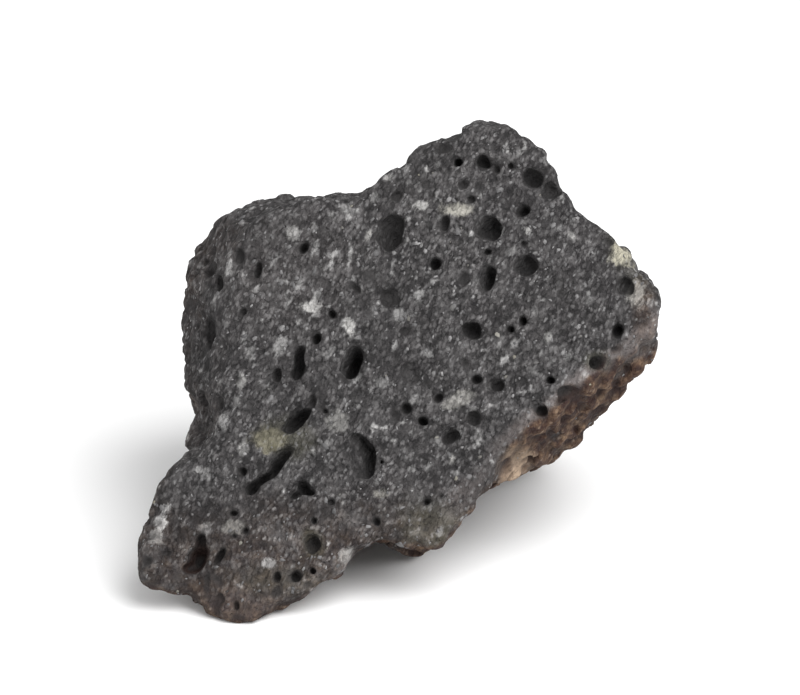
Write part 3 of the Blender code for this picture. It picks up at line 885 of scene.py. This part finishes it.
# %% Space stretched along the grain and bent a little
stretch = add_node(
    grain, "ShaderNodeMapping", vector_type="TEXTURE", Vector=group_in.outputs["Place"],
    Rotation=Vector(0.45 * right + 0.89 * up_face).to_track_quat("Z", "Y").to_euler(),
    Scale=(GRAIN_MM * MM, GRAIN_MM * MM, GRAIN_LENGTH * GRAIN_MM * MM))
straight = stretch.outputs[0]
warp = add_node(grain, "ShaderNodeTexNoise", Vector=straight, Scale=0.9, Detail=2.0)
bend = add_node(grain, "ShaderNodeVectorMath", operation="MULTIPLY_ADD")
for index, value in enumerate((warp.outputs["Color"], (1.5, 1.5, 1.5), straight)):
    feed(bend.inputs[index], value)
bent = bend.outputs[0]
print("grains: %.2f mm wide and %.2f mm long" % (GRAIN_MM, GRAIN_LENGTH * GRAIN_MM))


# %% Grains in the group
def random_part(net):
    """Random values, one for each cell of a net."""
    return add_node(grain, "ShaderNodeSeparateColor", Color=net.outputs["Color"]).outputs


def scattered(scale, share, inner, outer):
    """Grains: some cells of a random net, each with a soft edge and a strength of its own."""
    net = add_node(grain, "ShaderNodeTexVoronoi", Vector=bent, Scale=scale, Randomness=1.0)
    values = random_part(net)
    here = math_node("LESS_THAN", values[0], share)
    form = minus(1.0, rise(net.outputs["Distance"], inner, outer))
    strength = plus(0.25, times(values[1], 0.75))
    return times(times(here, form), strength)


felt = add_node(grain, "ShaderNodeTexNoise", Vector=straight, Scale=0.42, Detail=5.0, Roughness=0.72)
felt = felt.outputs["Fac"]
mosaic = add_node(grain, "ShaderNodeTexVoronoi", feature="SMOOTH_F1", Vector=bent, Scale=0.62, Randomness=1.0)
feed(mosaic.inputs["Smoothness"], 0.35)
gap = rise(mosaic.outputs["Distance"], 0.25, 0.75)
pale_grain = scattered(0.55, group_in.outputs["Pale share"], 0.12, 0.55)
dark_grain = scattered(0.75, group_in.outputs["Dark share"], 0.2, 0.6)
height = minus(minus(plus(felt, times(pale_grain, 0.3)), times(gap, 0.7)), times(dark_grain, 0.5))
mosaic_tone = minus(random_part(mosaic)[0], times(gap, 0.5))
results = dict(Pale=pale_grain, Dark=dark_grain, Cloud=felt, Mosaic=mosaic_tone, Height=height)
for name, value in results.items():
    feed(group_out.inputs[name], value)
print("grain group:", len(grain.nodes), "nodes")


def place_grain(tree, pale_share, dark_share):
    """The grain group in a material, with its own shares of pale and dark grains, and where it is laid."""
    where = tree.nodes.new("ShaderNodeTexCoord").outputs["Object"]
    node = add_node(tree, "ShaderNodeGroup", node_tree=grain)
    feed(node.inputs["Place"], where)
    feed(node.inputs["Pale share"], pale_share)
    feed(node.inputs["Dark share"], dark_share)
    return node.outputs, where


# %% [markdown]
# ## Broken basalt
# The colour is built up like coats of paint. Grey comes first, in a felt of grains with slow stains over it.
# Then come the crushed knots, the rust and painted shade in the creases, and the dark glassy walls of the
# bubbles come last, with painted shade in their depths. Each coat has a mask or a noise that says where it
# lies, so one material does for the whole rock.

# %% Colours of the stone
BASALT = (0.044, 0.041, 0.0415, 1.0)
BASALT_DARK = (0.013, 0.012, 0.0125, 1.0)
BASALT_PALE = (0.095, 0.090, 0.0905, 1.0)
BASALT_BRIGHT = (0.150, 0.144, 0.144, 1.0)
PALE_GRAIN = (0.24, 0.234, 0.234, 1.0)
BUBBLE_WALL = (0.028, 0.026, 0.026, 1.0)
# Painted shade for the depths of bubbles.
PAINTED_BUBBLE_SHADE = (0.005, 0.0045, 0.0045, 1.0)
RUST = (0.118, 0.069, 0.042, 1.0)
RUST_DARK = (0.034, 0.014, 0.010, 1.0)
RUST_BRIGHT = (0.30, 0.20, 0.125, 1.0)
TAN = (0.47, 0.35, 0.25, 1.0)
RED_GLASS = (0.024, 0.009, 0.007, 1.0)
OLIVE = (0.100, 0.097, 0.066, 1.0)
# Pale patches, and the painted highlight and painted light of the pale mask.
PALE_DUST_AND_HIGHLIGHT = (0.200, 0.174, 0.167, 1.0)
CHALK = (0.66, 0.65, 0.64, 1.0)
STRAW = (0.35, 0.32, 0.21, 1.0)

# %% Grey stone
basalt, tree, surface = new_finish("broken basalt")
grains, where = place_grain(tree, 0.25, 0.32)
bright_cells = times(rise(grains["Mosaic"], 0.30, 0.75), 0.75)
dark_cells = minus(1.0, rise(grains["Mosaic"], -0.25, 0.30))


def noise(scale, detail, roughness):
    """Cloudy values on the stone, from 0 to 1; scale is about the number of clouds in a metre."""
    node = add_node(tree, "ShaderNodeTexNoise", Vector=where, Scale=scale, Detail=detail, Roughness=roughness)
    return node.outputs["Fac"]


mottle = noise(750.0, 3.0, 0.6)
stain = noise(280.0, 3.0, 0.55)
stain_share = plus(0.22, times(mask_of(tree, "worn"), 0.38))
grey = coat(
    mix_colours(rise(grains["Cloud"], 0.37, 0.64), BASALT_DARK, BASALT_PALE),
    (0.2, BASALT),
    (bright_cells, BASALT_BRIGHT),
    (times(dark_cells, 0.55), BASALT_DARK),
    (times(rise(mottle, 0.50, 0.66), 0.35), BASALT_PALE),
    (times(minus(1.0, rise(mottle, 0.34, 0.5)), 0.4), BASALT_DARK),
    (times(rise(stain, 0.50, 0.68), stain_share), BASALT_BRIGHT),
    (times(minus(1.0, rise(stain, 0.34, 0.50)), stain_share), BASALT_DARK),
    # pale patches, with a painted highlight along the ledge's edge and painted light on the upper left
    (times(mask_of(tree, "pale_and_highlight"), 0.6), PALE_DUST_AND_HIGHLIGHT),
    (times(mask_of(tree, "olive"), 0.8), OLIVE),
    (grains["Pale"], PALE_GRAIN),
    (times(grains["Dark"], 0.75), BASALT_DARK))
print("grey stone:", len(tree.nodes), "nodes")

# %% Crushed knots
crushed = mix_colours(mask_of(tree, "straw"), CHALK, STRAW)
broken_up = plus(mask_of(tree, "chalk"), times(minus(grains["Cloud"], 0.5), 2.0))
powder = plus(0.6, times(rise(grains["Mosaic"], -0.2, 0.5), 0.4))
crushed_share = times(times(rise(broken_up, 0.12, 0.8), mask_of(tree, "white")), powder)
print("with crushed knots:", len(tree.nodes), "nodes")

# %% Rust
clouds = noise(700.0, 4.0, 0.6)
rusty = coat(
    mix_colours(rise(clouds, 0.36, 0.56), RUST_DARK, RUST),
    (times(rise(clouds, 0.54, 0.68), 0.6), RUST_BRIGHT),
    (times(dark_cells, 0.6), RUST_DARK),
    (times(grains["Pale"], 0.5), RUST_BRIGHT),
    (times(grains["Dark"], 0.7), RUST_DARK),
    (times(mask_of(tree, "tan"), 0.9), TAN))
print("with rust:", len(tree.nodes), "nodes")

# %% Bubble walls with painted shade in their depths, and the coats together
rust_mask = mask_of(tree, "rust")
inside = mask_of(tree, "wall")
# Painted shade: the deeper parts of a bubble's wall are painted near black.
bubble_shade_share = times(mask_of(tree, "bubble_shade"), minus(1.0, times(rust_mask, 0.45)))
wall_colour = mix_colours(times(rust_mask, rust_mask), BUBBLE_WALL, RED_GLASS)
wall_colour = mix_colours(bubble_shade_share, wall_colour, PAINTED_BUBBLE_SHADE)
colour = coat(
    grey,
    (crushed_share, crushed),
    (times(rust_mask, 0.9), rusty),
    # painted shade in the creases
    (times(mask_of(tree, "crease_shade"), 0.4), BASALT_DARK),
    (times(inside, 0.9), wall_colour))
feed(surface.inputs["Base Color"], colour)

# %% Shine and bump
BUMP_HEIGHT = 0.00036  # metres, from the deepest gap to the top of a grain

feed(surface.inputs["Roughness"], minus(minus(0.93, times(grains["Pale"], 0.35)), times(inside, 0.15)))
surface.inputs["Specular IOR Level"].default_value = 0.3
bump_height = times(grains["Height"], minus(1.0, times(inside, 0.5)))
bump = add_node(tree, "ShaderNodeBump", Height=bump_height, Strength=1.0, Distance=BUMP_HEIGHT)
feed(surface.inputs["Normal"], bump.outputs[0])
rock.data.materials.clear()
rock.data.materials.append(basalt)
print("broken basalt:", len(tree.nodes), "nodes")

# %% [markdown]
# ## Feldspar
# The crystals are a little glossier than the stone and run from grey to white, with a few yellow ones. Each
# slab has one tone of its own, which was stored on its corners, so thousands of them share one material.

# %% Feldspar
FELDSPAR_GREY = (0.085, 0.083, 0.084, 1.0)
FELDSPAR_WHITE = (0.33, 0.32, 0.32, 1.0)
FELDSPAR_YELLOW = (0.38, 0.34, 0.20, 1.0)

feldspar, tree, surface = new_finish("feldspar")
grains, where = place_grain(tree, 0.3, 0.25)
bright_end = mix_colours(mask_of(tree, "tint"), FELDSPAR_WHITE, FELDSPAR_YELLOW)
colour = mix_colours(mask_of(tree, "tone"), FELDSPAR_GREY, bright_end)
feed(surface.inputs["Base Color"], mix_colours(times(grains["Dark"], 0.7), colour, BASALT))
surface.inputs["Roughness"].default_value = 0.6
surface.inputs["Specular IOR Level"].default_value = 0.4
bump = add_node(tree, "ShaderNodeBump", Height=grains["Height"], Strength=0.6, Distance=0.0001)
feed(surface.inputs["Normal"], bump.outputs[0])
crystals.data.materials.append(feldspar)
print("feldspar:", len(tree.nodes), "nodes")

for piece in (rock, crystals):
    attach(piece, "root")
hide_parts("lava_rock")

# %% [markdown]
# ## Studio
# A pale floor, a soft light from the upper right, a weak one from the left and a pale sky. The camera is far
# off with a long lens, so that the rock keeps its true outline.

# %% Floor
FLOOR_REACH = 6.0  # metres from the middle to each side

floor_mesh = bpy.data.meshes.new("floor")
floor_corners = [(x * FLOOR_REACH, y * FLOOR_REACH, 0) for x, y in ((-1, -1), (1, -1), (1, 1), (-1, 1))]
floor_mesh.from_pydata(floor_corners, [], [(0, 1, 2, 3)])
floor = add_object("floor", floor_mesh)
paper, tree, surface = new_finish("white paper")
surface.inputs["Base Color"].default_value = (0.90, 0.90, 0.90, 1.0)
surface.inputs["Roughness"].default_value = 0.9
floor_mesh.materials.append(paper)
floor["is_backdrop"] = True

# %% Lights
MIDDLE = Vector((0.0, 0.0, 0.024))
SKY = 0.64


def soft_light(name, direction, distance, width, power):
    """A square light that looks at the rock's middle."""
    lamp = bpy.data.lights.new(name, "AREA")
    lamp.shape = "SQUARE"
    lamp.size = width
    lamp.energy = power
    holder = add_object(name, lamp)
    way = Vector(direction).normalized()
    holder.location = MIDDLE + way * distance
    holder.rotation_mode = "QUATERNION"
    holder.rotation_quaternion = way.to_track_quat("Z", "Y")


soft_light("key", direction=(0.58, -0.45, 1.0), distance=1.0, width=0.9, power=14.2)
soft_light("fill", direction=(-0.9, -0.8, 0.6), distance=1.2, width=0.9, power=3.0)
world = bpy.data.worlds.new("sky")
bpy.context.scene.world = world
world.use_nodes = True
world.node_tree.nodes["Background"].inputs["Color"].default_value = (1.0, 1.0, 1.0, 1.0)
world.node_tree.nodes["Background"].inputs["Strength"].default_value = SKY
bpy.context.scene.view_settings.view_transform = "Standard"
print("two lights and a pale sky")

# %% Camera
ELEVATION = math.radians(26.0)
DISTANCE = 0.95
AIM_HEIGHT = 0.0272
LOOKS_TALL = 0.0685  # metres, across the line of sight
TALL_SHARE = 0.74  # of the frame's height
FRAME = (800.0, 695.0)
SENSOR = 36.0

camera_data = bpy.data.cameras.new("camera")
camera = add_object("camera", camera_data)
back = Vector((0.0, -math.cos(ELEVATION), math.sin(ELEVATION)))
camera.location = Vector((0.0, 0.0, AIM_HEIGHT)) + back * DISTANCE
camera.rotation_mode = "QUATERNION"
camera.rotation_quaternion = back.to_track_quat("Z", "Y")
camera_data.sensor_width = SENSOR
camera_data.lens = SENSOR * DISTANCE / (LOOKS_TALL / TALL_SHARE * FRAME[0] / FRAME[1])
camera_data.clip_start = 0.05
camera_data.clip_end = 50.0
bpy.context.scene.camera = camera
print("lens: %.0f mm," % camera_data.lens, clock())

# %% Print the sizes of the solid and of the visual rock
visual_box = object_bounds()
for name, box in (("solid", solid_box), ("visual", visual_box)):
    print(name, "box:", [tuple(round(c / MM, 2) for c in corner) for corner in box])
